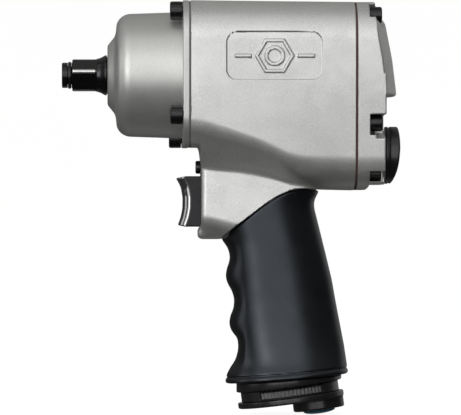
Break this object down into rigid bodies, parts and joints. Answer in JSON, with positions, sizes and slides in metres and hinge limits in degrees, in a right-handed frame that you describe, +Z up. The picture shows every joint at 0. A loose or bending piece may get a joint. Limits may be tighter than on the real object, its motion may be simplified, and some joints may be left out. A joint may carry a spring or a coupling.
{
  "type": "impact wrench",
  "caption": "Pistol-grip pneumatic impact wrench with a square drive, twin-hammer mechanism, vane air motor, trigger, regulator knob and rotating exhaust deflector.",
  "frame": {"origin": "centre of the anvil's front end face, on the drive axis", "axes": "+X from the drive end to the rear cover along the drive axis, +Z up from the pistol handle to the motor, +Y across the tool"},
  "size_m": [0.1735, 0.0746, 0.2121],
  "materials": {
    "clear_metal": "satin",
    "silver_paint": "satin",
    "black_steel": "satin",
    "machined_steel": "brushed",
    "bronze": "satin",
    "black_plastic": "matte",
    "black_rubber": "matte",
    "seal_rubber": "matte",
    "gasket_fibre": "matte",
    "vane_resin": "matte",
    "grey_diffuser": "matte",
    "grey_felt": "matte",
    "blue_plastic": "gloss"
  },
  "bodies": {
    "tool": {"hammer_case": "clear_metal", "motor_housing": "silver_paint", "rear_cover": "silver_paint", "hammer_case_screw_1": "black_steel", "hammer_case_screw_2": "black_steel", "hammer_case_screw_3": "black_steel", "hammer_case_screw_4": "black_steel", "rear_cover_screw_1": "black_steel", "rear_cover_screw_2": "black_steel", "rear_cover_screw_3": "black_steel", "rear_cover_screw_4": "black_steel", "rear_cover_screw_5": "black_steel", "rear_cover_screw_6": "black_steel", "oil_plug_screw": "black_steel", "inlet_bushing": "black_steel", "front_rotor_bearing": "machined_steel", "rear_rotor_bearing": "machined_steel", "front_end_plate": "machined_steel", "rear_end_plate": "machined_steel", "motor_cylinder": "machined_steel", "cylinder_dowel_pin": "machined_steel", "throttle_spring": "machined_steel", "inlet_screen": "machined_steel", "anvil_bushing": "bronze", "reverse_valve_bushing": "bronze", "throttle_seat": "bronze", "exhaust_collar": "black_plastic", "handle_base_cap": "black_plastic", "grip_sleeve": "black_rubber", "hammer_case_gasket": "gasket_fibre", "rear_gasket": "gasket_fibre", "exhaust_diffuser": "grey_diffuser", "exhaust_silencer": "grey_felt"},
    "drive": {"anvil": "black_steel", "socket_retainer_ring": "black_steel", "retainer_o_ring": "seal_rubber"},
    "frame": {"hammer_frame": "machined_steel", "hammer_pin_1": "machined_steel", "hammer_pin_2": "machined_steel"},
    "hammer_a": {"front_hammer": "machined_steel"},
    "hammer_b": {"rear_hammer": "machined_steel"},
    "motor_rotor": {"rotor": "machined_steel", "rotor_vane_1": "vane_resin", "rotor_vane_2": "vane_resin", "rotor_vane_3": "vane_resin", "rotor_vane_4": "vane_resin", "rotor_vane_5": "vane_resin", "rotor_vane_6": "vane_resin"},
    "regulator": {"reverse_valve": "machined_steel", "valve_o_ring": "seal_rubber", "regulator_knob": "black_plastic", "knob_screw": "black_steel"},
    "trigger": {"trigger": "black_plastic", "trigger_pin": "machined_steel"},
    "tilt_valve": {"throttle_valve": "machined_steel"},
    "deflector": {"exhaust_deflector_ring": "black_plastic"},
    "dust_plug": {"inlet_dust_plug": "blue_plastic"}
  },
  "joints": [
    {"name": "anvil_spin", "type": "hinge", "parent": "tool", "child": "drive", "pos_m": [0.03, 0, 0], "axis": [1, 0, 0], "continuous": true},
    {"name": "hammer_frame_spin", "type": "hinge", "parent": "tool", "child": "frame", "pos_m": [0.05, 0, 0], "axis": [1, 0, 0], "continuous": true},
    {"name": "rotor_spin", "type": "hinge", "parent": "tool", "child": "motor_rotor", "pos_m": [0.1, 0, 0], "axis": [1, 0, 0], "continuous": true},
    {"name": "front_hammer_swing", "type": "hinge", "parent": "frame", "child": "hammer_a", "pos_m": [0.0467, 0, 0.0205], "axis": [1, 0, 0], "range_deg": [-2.5, 2.5]},
    {"name": "rear_hammer_swing", "type": "hinge", "parent": "frame", "child": "hammer_b", "pos_m": [0.0588, 0, -0.0205], "axis": [1, 0, 0], "range_deg": [-2.5, 2.5]},
    {"name": "trigger_pull", "type": "slide", "parent": "tool", "child": "trigger", "axis": [1, 0, 0], "range_m": [0, 0.006], "stiffness_N_per_m": 1500, "springref_m": -0.002},
    {"name": "throttle_tilt", "type": "hinge", "parent": "tool", "child": "tilt_valve", "pos_m": [0.11571, 0, -0.09157], "axis": [0, 1, 0], "range_deg": [0, 11.1], "deforming": ["throttle_spring"]},
    {"name": "regulator_turn", "type": "hinge", "parent": "tool", "child": "regulator", "pos_m": [0.16, 0, -0.0411], "axis": [1, 0, 0], "range_deg": [-80, 80]},
    {"name": "deflector_turn", "type": "hinge", "parent": "tool", "child": "deflector", "pos_m": [0.1171, 0, -0.161], "axis": [-0.1323, 0, 0.9912], "continuous": true},
    {"name": "dust_plug_pull", "type": "slide", "parent": "tool", "child": "dust_plug", "axis": [0.1323, 0, -0.9912], "range_m": [0, 0.02]}
  ],
  "couplings": [
    {"joint": "rotor_spin", "follows": "hammer_frame_spin", "ratio": 1},
    {"joint": "throttle_tilt", "follows": "trigger_pull", "rad_per_m": 32}
  ]
}
